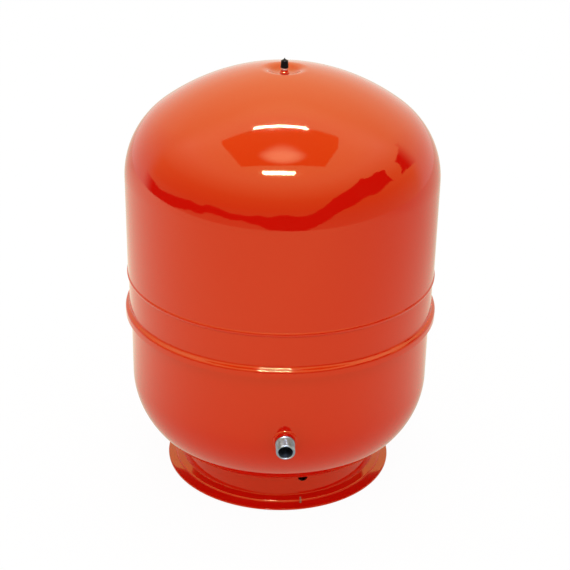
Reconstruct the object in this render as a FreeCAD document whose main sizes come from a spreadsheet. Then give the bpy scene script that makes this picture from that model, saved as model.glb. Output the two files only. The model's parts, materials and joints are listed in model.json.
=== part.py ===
import FreeCAD, Part
import math
import os
import re
import Sketcher

# Floor-standing membrane expansion tank for a heating system.
# The axis of the tank is Z, the floor is Z = 0, and the water nipple points along -Y.
# All sizes are in millimetres and degrees.

DRIVING_SIZES = {
    # upper shell
    "upper_radius": 225.0,
    "sheet": 1.6,
    "crown_radius": 300.0,
    "knuckle_radius": 118.7,
    "upper_knuckle_height": 460.9,
    "ridge_height": 315.0,
    "ridge_width": 6.6,
    "ridge_bend": 4.0,
    "band_inset": 1.3,
    "band_depth": 46.5,
    "lip_flare": 6.1,
    "lip_bend": 5.0,
    "lip_depth": 16.5,
    "recess_radius": 36.0,
    "recess_depth": 6.03,
    "recess_rim_bend": 28.0,
    "recess_floor_bend": 30.0,
    # lower shell
    "slide_gap": 0.5,
    "ground_clearance": 9.65,
    "lower_crown_radius": 350.0,
    "rim_below_ridge": 13.0,
    "seam_weld_rise": 4.0,
    "seam_weld_drop": 2.0,
    "seam_weld_bend": 9.0,
    # membrane and its hoop
    "membrane_gap": 0.3,
    "membrane_wall": 2.2,
    "membrane_bead": 3.0,
    "seat_gap": 0.1,
    "hoop_wall": 2.5,
    "hoop_depth": 28.0,
    # foot ring
    "foot_radius": 150.0,
    "foot_sheet": 2.0,
    "foot_bend": 2.0,
    "foot_crest_height": 8.8,
    "foot_crest_width": 6.4,
    "foot_step_bend": 1.8,
    "flange_width": 21.1,
    "flange_flat": 2.6,
    "flange_edge_bend": 0.9,
    "foot_overlap": 8.0,
    "notch_radius": 7.7,
    "notch_drop": 1.1,
    "notch_angle": 12.0,
    "notch_count": 3,
    "foot_weld_leg": 4.0,
    "foot_weld_toe": 0.33,
    "foot_weld_gap_angle": 9.0,
    # water nipple
    "nipple_height": 148.7,
    "nipple_drop_angle": 7.6,
    "nipple_bore_radius": 9.6,
    "nipple_shank_radius": 13.45,
    "nipple_thread_radius": 13.22,
    "nipple_shank_length": 5.5,
    "nipple_thread_length": 17.2,
    "nipple_chamfer": 1.3,
    "nipple_mouth_chamfer": 0.7,
    "nipple_inner_reach": 12.0,
    "nipple_hole_gap": 0.15,
    "nipple_weld_width": 3.2,
    "nipple_weld_rise": 0.8,
    "nipple_weld_toe": 0.6,
    "nipple_weld_root": 4.0,
    "nipple_weld_bend": 2.4,
    # gas valve
    "boss_radius": 6.7,
    "boss_shoulder": 0.9,
    "boss_height": 4.4,
    "boss_top_radius": 4.8,
    "boss_shoulder_bend": 3.6,
    "boss_spigot_radius": 5.3,
    "boss_spigot_depth": 6.0,
    "boss_hole_gap": 0.1,
    "stem_shank_radius": 3.9,
    "stem_fit_gap": 0.1,
    "stem_gasket_wall": 0.6,
    "stem_collar_radius": 4.75,
    "stem_collar_height": 2.4,
    "stem_neck_radius": 3.85,
    "stem_neck_length": 8.6,
    "stem_tip_chamfer": 0.4,
    "stem_tail_depth": 11.0,
    "core_thread_radius": 2.65,
    "core_thread_depth": 7.0,
    "core_cone_depth": 1.6,
    "core_bore_radius": 1.95,
    "plug_recess": 0.9,
    "plug_length": 3.6,
    "plug_flat_depth": 1.5,
    "plug_flat_half_width": 1.5,
    "core_gap": 0.1,
    "barrel_head_radius": 2.3,
    "barrel_side_gap": 0.2,
    "barrel_length": 10.9,
    "barrel_roof": 0.9,
    "chamber_radius": 1.25,
    "pin_radius": 0.4,
    "pin_gap": 0.2,
    "pin_recess": 0.3,
    "pin_collar_radius": 1.05,
    "pin_collar_height": 0.6,
    "pin_collar_drop": 1.5,
    "cup_radius": 1.5,
    "cup_wall": 0.3,
    "cup_depth": 1.1,
    "seal_lift": 0.15,
    "seal_rest_gap": 0.05,
    "spring_wire_radius": 0.15,
    "spring_radius": 0.85,
    "spring_turns": 6.0,
    # valve cap
    "cap_rest_gap": 0.3,
    "cap_base_radius": 5.5,
    "cap_base_bend": 0.5,
    "cap_shoulder_radius": 4.9,
    "cap_shoulder_rise": 0.1,
    "cap_crown_radius": 2.1,
    "cap_crown_rise": 1.8,
    "cap_point_radius": 1.1,
    "cap_point_tip_radius": 0.4,
    "cap_point_rise": 2.1,
    "cap_thread_gap": 0.1,
    "cap_gasket_gap": 0.3,
    "cap_gasket_wall": 1.0,
    "cap_flute_radius": 0.45,
    "cap_flute_depth": 0.3,
    "cap_flute_count": 20,
}

# Heights and radii that several pieces share, worked out from the driving sizes.
SHARED = {
    "band_radius": "(upper_radius - band_inset)",
    "lip_radius": "(band_radius + lip_flare)",
    "lip_top": "(ridge_height - band_depth)",
    "lip_bottom": "(lip_top - lip_depth)",
    "lower_radius": "(band_radius - sheet - slide_gap)",
    "upper_crown_centre": "(upper_knuckle_height - sqrt((crown_radius - knuckle_radius)^2"
    " - (upper_radius - knuckle_radius)^2))",
    "lower_crown_centre": "(ground_clearance + lower_crown_radius)",
    "lower_knuckle_height": "(lower_crown_centre - sqrt((lower_crown_radius - knuckle_radius)^2"
    " - (lower_radius - knuckle_radius)^2))",
    "lower_rim_height": "(ridge_height - rim_below_ridge)",
    "lower_dome_at_foot": "(lower_crown_centre - sqrt(lower_crown_radius^2 - foot_radius^2))",
    "flange_radius": "(foot_radius + flange_width)",
    "lip_flare_drop": "sqrt(lip_flare * (4 * lip_bend - lip_flare))",
    "membrane_outside": "(sheet + membrane_gap)",
    "membrane_inside": "(membrane_outside + membrane_wall)",
    "bead_bottom": "(lower_rim_height + seat_gap)",
    "bead_top": "(bead_bottom + membrane_bead)",
    "hoop_radius": "(lower_radius - membrane_inside - seat_gap)",
    "recess_floor": "(upper_crown_centre + crown_radius - recess_depth)",
    "boss_top": "(recess_floor + boss_height)",
    "stem_seat": "(boss_top + stem_gasket_wall)",
    "collar_top": "(stem_seat + stem_collar_height)",
    "stem_top": "(collar_top + stem_neck_length)",
    "plug_top": "(stem_top - plug_recess)",
    "barrel_top": "(plug_top - plug_length - core_gap)",
    "barrel_bottom": "(barrel_top - barrel_length)",
    "barrel_shoulder": "(stem_top - core_thread_depth + 2 * core_gap)",
    "barrel_radius": "(core_bore_radius - barrel_side_gap)",
    "chamber_floor": "(barrel_bottom + barrel_roof)",
    "chamber_roof": "(barrel_top - barrel_roof)",
    "pin_hole_radius": "(pin_radius + pin_gap)",
    "pin_top": "(stem_top - pin_recess)",
    "collar_under_roof": "(chamber_roof - pin_collar_drop)",
    "seal_top": "(barrel_bottom - seal_rest_gap)",
    "cup_top": "(seal_top - seal_lift)",
    "cup_bottom": "(cup_top - cup_depth)",
    "cap_bottom": "(collar_top + cap_rest_gap)",
    "cap_bore_radius": "(stem_neck_radius + cap_thread_gap)",
    "gasket_bottom": "(stem_top + cap_gasket_gap)",
    "cap_roof": "(gasket_bottom + cap_gasket_wall + core_gap)",
    "cap_shoulder": "(cap_roof + cap_shoulder_rise)",
    "cap_crown": "(cap_shoulder + cap_crown_rise)",
    "cap_tip": "(cap_crown + cap_point_rise)",
}

doc = FreeCAD.newDocument("ExpansionTank")
sheet = doc.addObject("Spreadsheet::Sheet", "Sizes")


def fill_sheet():
    for row, (word, value) in enumerate(DRIVING_SIZES.items(), start=1):
        sheet.set(f"A{row}", word)
        sheet.set(f"B{row}", str(value))
        sheet.setAlias(f"B{row}", word)
    doc.recompute()


def formula(text):
    """Spell out the shared words, then point every size at its cell of the sheet."""
    words = re.compile(r"[a-z][a-z_]+[a-z]")
    while any(word in SHARED for word in words.findall(text)):
        text = words.sub(lambda found: SHARED.get(found.group(), found.group()), text)
    return words.sub(
        lambda found: "Sizes." + found.group() if found.group() in DRIVING_SIZES else found.group(), text
    )


def value(text):
    return float(sheet.evalExpression(formula(text)))


def bind(feature, name, text):
    feature.setExpression(name, formula(text))


def origin_item(body, role):
    return next(item for item in body.Origin.OriginFeatures if item.Role == role)


def new_body(label):
    body = doc.addObject("PartDesign::Body", label)
    body.Label = label
    return body


def new_sketch(body, name, plane="XZ_Plane"):
    sketch = body.newObject("Sketcher::SketchObject", body.Name + "_" + name)
    sketch.AttachmentSupport = (origin_item(body, plane), [""])
    sketch.MapMode = "FlatFace"
    return sketch


# An outline is a list of corners. A corner is (across, up) for a straight run to it, or
# (across, up, radius, side) for an arc to it whose centre lies on that side of the way.
def turned_back(path):
    """The same path walked the other way."""
    other = {"left": "right", "right": "left"}
    corners = [corner[:2] for corner in path]
    bends = [corner[2:] for corner in path[1:]]
    back = [corners[-1]]
    for corner, bend in zip(reversed(corners[:-1]), reversed(bends)):
        back.append(corner + ((bend[0], other[bend[1]]) if bend else ()))
    return back


def arc_between(start, end, radius, side):
    chord = end - start
    middle = (start + end) / 2
    reach = math.sqrt(max(radius**2 - (chord.Length / 2) ** 2, 0.0))
    across = FreeCAD.Vector(-chord.y, chord.x, 0).normalize()
    centre = middle + across * (reach if side == "left" else -reach)
    first, last = (start, end) if side == "left" else (end, start)
    from_angle = math.atan2(first.y - centre.y, first.x - centre.x)
    to_angle = math.atan2(last.y - centre.y, last.x - centre.x)
    if to_angle < from_angle:
        to_angle += 2 * math.pi
    circle = Part.Circle(centre, FreeCAD.Vector(0, 0, 1), radius)
    return Part.ArcOfCircle(circle, from_angle, to_angle)


def draw_outline(sketch, corners):
    """Draw the closed outline and tie every corner and radius to the sheet."""
    points = [FreeCAD.Vector(value(corner[0]), value(corner[1]), 0) for corner in corners]
    count = len(corners)
    base = sketch.GeometryCount
    ends = []
    for index in range(count):
        following = (index + 1) % count
        bend = corners[following][2:]
        if bend:
            radius = value(bend[0])
            piece = arc_between(points[index], points[following], radius, bend[1])
            ends.append((1, 2) if bend[1] == "left" else (2, 1))
        else:
            piece = Part.LineSegment(points[index], points[following])
            ends.append((1, 2))
        sketch.addGeometry(piece, False)
    for index in range(count):
        following = (index + 1) % count
        sketch.addConstraint(
            Sketcher.Constraint(
                "Coincident", base + index, ends[index][1], base + following, ends[following][0]
            )
        )
    for index, corner in enumerate(corners):
        start = ends[index][0]
        for axis, kind, text, place in (
            (-2, "DistanceX", corner[0], points[index].x),
            (-1, "DistanceY", corner[1], points[index].y),
        ):
            if text == "0":
                sketch.addConstraint(Sketcher.Constraint("PointOnObject", base + index, start, axis))
            else:
                number = sketch.addConstraint(Sketcher.Constraint(kind, -1, 1, base + index, start, place))
                bind(sketch, f"Constraints[{number}]", text)
        bend = corners[(index + 1) % count][2:]
        if bend:
            number = sketch.addConstraint(Sketcher.Constraint("Radius", base + index, value(bend[0])))
            bind(sketch, f"Constraints[{number}]", bend[0])


def turn(body, corners, name="profile", degrees=None):
    """Turn an outline of (radius, height) corners about the Z axis of the body."""
    sketch = new_sketch(body, name)
    draw_outline(sketch, corners)
    feature = body.newObject("PartDesign::Revolution", body.Name + "_turned")
    feature.Profile = sketch
    feature.ReferenceAxis = (sketch, ["V_Axis"])
    feature.Angle = 360
    if degrees:
        bind(feature, "Angle", degrees)
    return feature


def turned_body(label, corners):
    body = new_body(label)
    turn(body, corners)
    return body


def round_pocket(body, name, centre, radius, depth, tilt=None, plane="XZ_Plane", reverse=False):
    """A round pocket that leaves the middle of the body on one side only."""
    sketch = new_sketch(body, name, plane)
    place = FreeCAD.Vector(value(centre[0]), value(centre[1]), 0)
    sketch.addGeometry(Part.Circle(place, FreeCAD.Vector(0, 0, 1), value(radius)), False)
    for axis, kind, text, where in (
        (-2, "DistanceX", centre[0], place.x),
        (-1, "DistanceY", centre[1], place.y),
    ):
        if text == "0":
            sketch.addConstraint(Sketcher.Constraint("PointOnObject", 0, 3, axis))
        else:
            number = sketch.addConstraint(Sketcher.Constraint(kind, -1, 1, 0, 3, where))
            bind(sketch, f"Constraints[{number}]", text)
    number = sketch.addConstraint(Sketcher.Constraint("Radius", 0, value(radius)))
    bind(sketch, f"Constraints[{number}]", radius)
    if tilt:
        bind(sketch, "AttachmentOffset", tilt)
    pocket = body.newObject("PartDesign::Pocket", body.Name + "_" + name + "_cut")
    pocket.Profile = sketch
    pocket.Reversed = reverse
    bind(pocket, "Length", depth)
    return pocket


def round_pattern(body, feature, count):
    pattern = body.newObject("PartDesign::PolarPattern", body.Name + "_around")
    pattern.Originals = [feature]
    pattern.Axis = (origin_item(body, "Z_Axis"), [""])
    pattern.Angle = 360
    bind(pattern, "Occurrences", count)
    body.Tip = pattern
    return pattern


def cut_away(label, base, tool):
    """What is left of base after tool is taken away."""
    cut = doc.addObject("Part::Cut", label)
    cut.Label = label
    cut.Base = base
    cut.Tool = tool
    return cut


# Shells
def upper_path(depth, ridge=True):
    """The upper shell's skin from the valve hole to the lip, at a depth below its outside."""
    rim_along = f"(crown_radius - {depth}) / crown_radius"
    level = "sqrt(1 - (recess_radius / crown_radius)^2)"
    rim_across = "(recess_radius * (crown_radius - recess_rim_bend) / crown_radius)"
    rim_up = f"(upper_crown_centre + (crown_radius - recess_rim_bend) * {level})"
    dish_up = "(recess_floor + recess_floor_bend)"
    bends = "(recess_floor_bend + recess_rim_bend)"
    dish_across = f"({rim_across} - sqrt({bends}^2 - ({dish_up} - {rim_up})^2))"
    share = f"(recess_floor_bend + {depth}) / {bends}"
    knuckle_along = f"(crown_radius - {depth}) / (crown_radius - knuckle_radius)"
    flare_share = f"(lip_bend + {depth}) / (2 * lip_bend)"
    path = [
        ("(boss_spigot_radius + boss_hole_gap)", f"recess_floor - {depth}"),
        (dish_across, f"recess_floor - {depth}"),
        (
            f"{dish_across} + ({rim_across} - {dish_across}) * {share}",
            f"{dish_up} + ({rim_up} - {dish_up}) * {share}",
            f"recess_floor_bend + {depth}",
            "left",
        ),
        (
            f"recess_radius * {rim_along}",
            f"upper_crown_centre + (crown_radius - {depth}) * {level}",
            f"recess_rim_bend - {depth}",
            "right",
        ),
        (
            f"(upper_radius - knuckle_radius) * {knuckle_along}",
            f"upper_crown_centre + (upper_knuckle_height - upper_crown_centre) * {knuckle_along}",
            f"crown_radius - {depth}",
            "right",
        ),
        (f"upper_radius - {depth}", "upper_knuckle_height", f"knuckle_radius - {depth}", "right"),
        (f"upper_radius - {depth}", "ridge_height + ridge_width / 2"),
        (f"band_radius - {depth}", "ridge_height - ridge_width / 2") + (("ridge_bend", "right") if ridge else ()),
        (f"band_radius - {depth}", "lip_top"),
        (
            f"band_radius + lip_bend + (lip_flare - 2 * lip_bend) * {flare_share}",
            f"lip_top - lip_flare_drop * {flare_share}",
            f"lip_bend + {depth}",
            "left",
        ),
        (f"lip_radius - {depth}", "lip_top - lip_flare_drop", f"lip_bend - {depth}", "right"),
        (f"lip_radius - {depth}", "lip_bottom"),
    ]
    return path


def lower_path(depth, top):
    """The lower shell's skin from its rim to the axis, at a depth below its outside."""
    along = f"(lower_crown_radius - {depth}) / (lower_crown_radius - knuckle_radius)"
    return [
        (f"lower_radius - {depth}", top),
        (f"lower_radius - {depth}", "lower_knuckle_height"),
        (
            f"(lower_radius - knuckle_radius) * {along}",
            f"lower_crown_centre - (lower_crown_centre - lower_knuckle_height) * {along}",
            f"knuckle_radius - {depth}",
            "right",
        ),
        ("0", f"lower_crown_centre - lower_crown_radius + {depth}", f"lower_crown_radius - {depth}", "right"),
    ]


def upper_shell():
    return turned_body("upper_shell", upper_path("0") + turned_back(upper_path("sheet", ridge=False)))


def lower_shell():
    body = turned_body(
        "lower_shell",
        lower_path("0", "lower_rim_height") + turned_back(lower_path("sheet", "lower_rim_height")),
    )
    on_nipple_axis = (
        "placement(vector(0; nipple_height; lower_radius); rotation(vector(1; 0; 0); nipple_drop_angle))"
    )
    hole = round_pocket(
        body,
        "nipple_hole",
        ("0", "0"),
        "nipple_shank_radius + nipple_hole_gap",
        "2 * nipple_inner_reach",
        on_nipple_axis,
    )
    hole.Midplane = True
    return body


def lower_core(label, depth):
    """A full solid inside the lower shell's skin, used only to trim what meets the shell."""
    path = lower_path(depth, "lower_rim_height")
    return turned_body(label, path + [("0", "lower_rim_height")])


def seam_weld():
    inside = "lip_radius - sheet"
    return turned_body(
        "seam_weld",
        [
            ("lower_radius", "lip_bottom - seam_weld_drop"),
            (inside, "lip_bottom", "seam_weld_bend", "left"),
            (inside, "lip_bottom + seam_weld_rise"),
            ("lower_radius", "lip_bottom + seam_weld_rise"),
        ],
    )


# Membrane
def diaphragm():
    outside = lower_path("membrane_outside", "bead_bottom")
    inside = lower_path("membrane_inside", "bead_top")
    return turned_body(
        "diaphragm",
        [("lower_radius", "bead_top"), ("lower_radius", "bead_bottom")] + outside + turned_back(inside),
    )


def clamp_ring():
    top = "bead_top + seat_gap + hoop_wall"
    return turned_body(
        "clamp_ring",
        [
            ("hoop_radius - hoop_wall", "bead_top - hoop_depth"),
            ("hoop_radius", "bead_top - hoop_depth"),
            ("hoop_radius", "bead_top + seat_gap"),
            ("lower_radius", "bead_top + seat_gap"),
            ("lower_radius", top),
            ("hoop_radius", top),
            ("hoop_radius - hoop_wall", "bead_top + seat_gap", "hoop_wall", "left"),
        ],
    )


# Foot
def foot_ring(shell_core):
    crest_edge = "foot_radius + foot_bend + foot_crest_width"
    step = "foot_step_bend"
    top = "lower_dome_at_foot + foot_overlap"
    inside = "foot_radius - foot_sheet"
    body = turned_body(
        "foot_ring_blank",
        [
            ("foot_radius", top),
            ("foot_radius", "foot_crest_height + foot_bend"),
            ("foot_radius + foot_bend", "foot_crest_height", "foot_bend", "left"),
            (crest_edge, "foot_crest_height"),
            (f"{crest_edge} + {step}", f"foot_crest_height - {step}", step, "right"),
            ("flange_radius - flange_flat", "foot_sheet"),
            ("flange_radius - flange_edge_bend", "foot_sheet"),
            ("flange_radius", "foot_sheet - flange_edge_bend", "flange_edge_bend", "right"),
            ("flange_radius", "0"),
            ("flange_radius - flange_flat", "0"),
            (f"{crest_edge} + {step} - foot_sheet / 2", f"foot_crest_height - {step} - foot_sheet"),
            (crest_edge, "foot_crest_height - foot_sheet"),
            ("foot_radius + foot_bend", "foot_crest_height - foot_sheet"),
            (inside, "foot_crest_height + foot_bend", "foot_bend + foot_sheet", "right"),
            (inside, top),
        ],
    )
    turn_right = "placement(vector(0; 0; 0); rotation(vector(0; 1; 0); notch_angle))"
    notch = round_pocket(
        body,
        "notch",
        ("0", "lower_dome_at_foot - notch_drop"),
        "notch_radius",
        "foot_radius + foot_bend",
        turn_right,
        reverse=True,
    )
    round_pattern(body, notch, "notch_count")
    return cut_away("foot_ring", body, shell_core)


def foot_weld(shell_core):
    """One bead, then the same bead between each pair of notches."""
    body = new_body("foot_weld_beads")
    body.AllowCompound = True
    toe = "(foot_radius + foot_weld_leg)"
    bead = turn(
        body,
        [
            ("foot_radius", "lower_dome_at_foot - foot_weld_leg"),
            (toe, f"lower_crown_centre - sqrt(lower_crown_radius^2 - {toe}^2) - foot_weld_toe"),
            (toe, "lower_dome_at_foot + foot_overlap"),
            ("foot_radius", "lower_dome_at_foot + foot_overlap"),
        ],
        degrees="360 / notch_count - 2 * foot_weld_gap_angle",
    )
    round_pattern(body, bead, "notch_count")
    body.setExpression(
        "Placement",
        formula(
            "placement(vector(0; 0; 0); rotation(vector(0; 0; 1);"
            " notch_angle - 90 + foot_weld_gap_angle))"
        ),
    )
    return cut_away("foot_weld", body, shell_core)


# Water nipple. Its own axis is local Z, zero where it leaves the shell, and it points outwards.
NIPPLE_PLACE = (
    "placement(vector(0; -(lower_radius); nipple_height);"
    " rotation(vector(1; 0; 0); 90 + nipple_drop_angle))"
)


def water_nipple(shell_bore):
    mouth = "(nipple_shank_length + nipple_thread_length + nipple_chamfer)"
    body = turned_body(
        "water_nipple_tube",
        [
            ("nipple_bore_radius", "-nipple_inner_reach"),
            ("nipple_shank_radius", "-nipple_inner_reach"),
            ("nipple_shank_radius", "nipple_shank_length"),
            ("nipple_thread_radius", "nipple_shank_length"),
            ("nipple_thread_radius", f"{mouth} - nipple_chamfer"),
            ("nipple_thread_radius - nipple_chamfer", mouth),
            ("nipple_bore_radius + nipple_mouth_chamfer", mouth),
            ("nipple_bore_radius", f"{mouth} - nipple_mouth_chamfer"),
        ],
    )
    bind(body, "Placement", NIPPLE_PLACE)
    return cut_away("water_nipple", body, shell_bore)


def nipple_core():
    """A full solid inside the nipple's skin, used only to trim the weld round it."""
    body = turned_body(
        "nipple_core",
        [
            ("0", "-nipple_inner_reach"),
            ("nipple_shank_radius", "-nipple_inner_reach"),
            ("nipple_shank_radius", "nipple_inner_reach"),
            ("0", "nipple_inner_reach"),
        ],
    )
    bind(body, "Placement", NIPPLE_PLACE)
    return body


def nipple_weld(shell_core):
    """A low bead that leans half as much as the nipple, as the shell does under it."""
    inside = "(nipple_shank_radius - nipple_weld_rise)"
    toe = "(nipple_shank_radius + nipple_weld_width)"
    body = turned_body(
        "nipple_weld_bead",
        [
            (inside, "-nipple_weld_root"),
            (toe, "-nipple_weld_root"),
            (toe, "-nipple_weld_toe"),
            (inside, "nipple_weld_rise", "nipple_weld_bend", "left"),
        ],
    )
    bind(
        body,
        "Placement",
        "placement(vector(0; -(lower_radius); nipple_height);"
        " rotation(vector(1; 0; 0); 90 + nipple_drop_angle / 2))",
    )
    on_shell = cut_away("nipple_weld_on_shell", body, shell_core)
    return cut_away("nipple_weld", on_shell, nipple_core())


# Gas valve
def valve_boss():
    bore = "stem_shank_radius + stem_fit_gap"
    tail = "recess_floor - boss_spigot_depth"
    return turned_body(
        "valve_boss",
        [
            (bore, tail),
            ("boss_spigot_radius", tail),
            ("boss_spigot_radius", "recess_floor"),
            ("boss_radius", "recess_floor"),
            ("boss_radius", "recess_floor + boss_shoulder"),
            ("boss_top_radius", "boss_top", "boss_shoulder_bend", "right"),
            (bore, "boss_top"),
        ],
    )


def stem_gasket():
    inside = "stem_shank_radius + stem_fit_gap"
    return turned_body(
        "stem_gasket",
        [
            (inside, "boss_top"),
            ("boss_top_radius - stem_fit_gap", "boss_top"),
            ("boss_top_radius - stem_fit_gap", "stem_seat"),
            (inside, "stem_seat"),
        ],
    )


def valve_stem():
    tail = "recess_floor - stem_tail_depth"
    cone_top = "stem_top - core_thread_depth"
    return turned_body(
        "valve_stem",
        [
            ("core_bore_radius", tail),
            ("stem_shank_radius", tail),
            ("stem_shank_radius", "stem_seat"),
            ("stem_collar_radius", "stem_seat"),
            ("stem_collar_radius", "collar_top"),
            ("stem_neck_radius", "collar_top"),
            ("stem_neck_radius", "stem_top - stem_tip_chamfer"),
            ("stem_neck_radius - stem_tip_chamfer", "stem_top"),
            ("core_thread_radius", "stem_top"),
            ("core_thread_radius", cone_top),
            ("core_bore_radius", f"{cone_top} - core_cone_depth"),
        ],
    )


def core_plug():
    """Threaded head of the core, with two flats that a key turns it by."""
    body = turned_body(
        "core_plug",
        [
            ("pin_hole_radius", "plug_top - plug_length"),
            ("core_thread_radius - core_gap", "plug_top - plug_length"),
            ("core_thread_radius - core_gap", "plug_top"),
            ("pin_hole_radius", "plug_top"),
        ],
    )
    sketch = new_sketch(body, "flats", "XY_Plane")
    for sign in ("", "-"):
        near, far = f"{sign}plug_flat_half_width", f"{sign}core_thread_radius"
        draw_outline(
            sketch,
            [
                (near, "-core_thread_radius"),
                (far, "-core_thread_radius"),
                (far, "core_thread_radius"),
                (near, "core_thread_radius"),
            ],
        )
    bind(sketch, "AttachmentOffset", "placement(vector(0; 0; plug_top); rotation(vector(0; 0; 1); 0))")
    pocket = body.newObject("PartDesign::Pocket", "core_plug_flats_cut")
    pocket.Profile = sketch
    bind(pocket, "Length", "plug_flat_depth")
    return body


def core_barrel():
    return turned_body(
        "core_barrel",
        [
            ("pin_hole_radius", "barrel_bottom"),
            ("barrel_radius", "barrel_bottom"),
            ("barrel_radius", "barrel_shoulder"),
            ("barrel_head_radius", "barrel_shoulder"),
            ("barrel_head_radius", "barrel_top"),
            ("pin_hole_radius", "barrel_top"),
            ("pin_hole_radius", "chamber_roof"),
            ("chamber_radius", "chamber_roof"),
            ("chamber_radius", "chamber_floor"),
            ("pin_hole_radius", "chamber_floor"),
        ],
    )


def core_gasket():
    """Cone seal between the barrel and the cone of the stem."""
    inside = "barrel_radius + core_gap / 2"
    low = "barrel_shoulder - core_cone_depth"
    return turned_body(
        "core_gasket",
        [
            (inside, low),
            ("core_bore_radius", low),
            ("core_thread_radius - core_gap", "barrel_shoulder"),
            (inside, "barrel_shoulder"),
        ],
    )


def core_pin():
    return turned_body(
        "core_pin",
        [
            ("0", "cup_bottom"),
            ("pin_radius", "cup_bottom"),
            ("pin_radius", "collar_under_roof - pin_collar_height"),
            ("pin_collar_radius", "collar_under_roof - pin_collar_height"),
            ("pin_collar_radius", "collar_under_roof"),
            ("pin_radius", "collar_under_roof"),
            ("pin_radius", "pin_top"),
            ("0", "pin_top"),
        ],
    )


def core_cup():
    return turned_body(
        "core_cup",
        [
            ("pin_radius", "cup_bottom"),
            ("cup_radius", "cup_bottom"),
            ("cup_radius", "cup_top"),
            ("cup_radius - cup_wall", "cup_top"),
            ("cup_radius - cup_wall", "cup_bottom + cup_wall"),
            ("pin_radius", "cup_bottom + cup_wall"),
        ],
    )


def core_seal():
    return turned_body(
        "core_seal",
        [
            ("pin_radius", "cup_bottom + cup_wall"),
            ("cup_radius - cup_wall", "cup_bottom + cup_wall"),
            ("cup_radius - cup_wall", "seal_top"),
            ("pin_radius", "seal_top"),
        ],
    )


def core_spring():
    """Coil between the floor of the barrel's chamber and the collar of the pin."""
    body = new_body("core_spring")
    sketch = new_sketch(body, "wire")
    start = ("spring_radius", "chamber_floor + spring_wire_radius")
    place = FreeCAD.Vector(value(start[0]), value(start[1]), 0)
    sketch.addGeometry(Part.Circle(place, FreeCAD.Vector(0, 0, 1), value("spring_wire_radius")), False)
    for kind, text, where in (("DistanceX", start[0], place.x), ("DistanceY", start[1], place.y)):
        number = sketch.addConstraint(Sketcher.Constraint(kind, -1, 1, 0, 3, where))
        bind(sketch, f"Constraints[{number}]", text)
    number = sketch.addConstraint(Sketcher.Constraint("Radius", 0, value("spring_wire_radius")))
    bind(sketch, f"Constraints[{number}]", "spring_wire_radius")
    length = "(collar_under_roof - pin_collar_height - chamber_floor - 2 * spring_wire_radius)"
    coil = body.newObject("PartDesign::AdditiveHelix", "core_spring_coil")
    coil.Profile = sketch
    coil.ReferenceAxis = (sketch, ["V_Axis"])
    coil.Mode = "pitch-height-angle"
    bind(coil, "Pitch", f"{length} / spring_turns")
    bind(coil, "Height", length)
    return body


def valve_cap():
    """Screw cap with a small point on top and shallow flutes round its skirt."""
    body = turned_body(
        "valve_cap",
        [
            ("cap_bore_radius", "cap_bottom"),
            ("cap_base_radius - cap_base_bend", "cap_bottom"),
            ("cap_base_radius", "cap_bottom + cap_base_bend", "cap_base_bend", "left"),
            ("cap_shoulder_radius", "cap_shoulder"),
            ("cap_crown_radius", "cap_crown"),
            ("cap_point_radius", "cap_crown + (cap_crown_radius - cap_point_radius) / 2"),
            ("cap_point_tip_radius", "cap_tip"),
            ("0", "cap_tip"),
            ("0", "cap_roof"),
            ("cap_bore_radius", "cap_roof"),
        ],
    )
    flute = round_pocket(
        body,
        "flute",
        ("cap_base_radius + cap_flute_radius - cap_flute_depth", "0"),
        "cap_flute_radius",
        "cap_tip - cap_bottom",
        "placement(vector(0; 0; cap_bottom); rotation(vector(0; 0; 1); 0))",
        plane="XY_Plane",
        reverse=True,
    )
    round_pattern(body, flute, "cap_flute_count")
    return body


def cap_gasket():
    return turned_body(
        "cap_gasket",
        [
            ("0", "gasket_bottom"),
            ("stem_neck_radius", "gasket_bottom"),
            ("stem_neck_radius", "gasket_bottom + cap_gasket_wall"),
            ("0", "gasket_bottom + cap_gasket_wall"),
        ],
    )


def build():
    fill_sheet()
    shell_core = lower_core("lower_shell_core", "0")
    shell_bore = lower_core("lower_shell_bore", "sheet")
    parts = [
        upper_shell(),
        lower_shell(),
        seam_weld(),
        diaphragm(),
        clamp_ring(),
        foot_ring(shell_core),
        foot_weld(shell_core),
        water_nipple(shell_bore),
        nipple_weld(shell_core),
        valve_boss(),
        stem_gasket(),
        valve_stem(),
        core_plug(),
        core_barrel(),
        core_gasket(),
        core_pin(),
        core_cup(),
        core_seal(),
        core_spring(),
        valve_cap(),
        cap_gasket(),
    ]
    doc.recompute()
    return parts


def check(parts):
    for item in doc.Objects:
        if "Invalid" in item.State or "Error" in item.State:
            raise RuntimeError(f"{item.Label} did not compute: {item.State}")
    for part in parts:
        if part.Shape.isNull() or not part.Shape.isValid() or not part.Shape.Solids:
            raise RuntimeError(f"{part.Label} has no valid solid")


def write(parts):
    os.makedirs("parts", exist_ok=True)
    for part in parts:
        part.Shape.exportStep(f"parts/{part.Label}.step")
        box = part.Shape.BoundBox
        print(
            f"{part.Label:14s} solids {len(part.Shape.Solids)} volume {part.Shape.Volume:12.2f}"
            f"  z {box.ZMin:8.2f} {box.ZMax:8.2f}  x {box.XMin:8.2f} {box.XMax:8.2f}"
            f"  y {box.YMin:8.2f} {box.YMax:8.2f}"
        )


tank_parts = build()
check(tank_parts)
write(tank_parts)
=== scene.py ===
import json
import math

import bmesh
import bpy
from mathutils import Euler, Matrix, Vector
from mathutils.bvhtree import BVHTree


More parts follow.
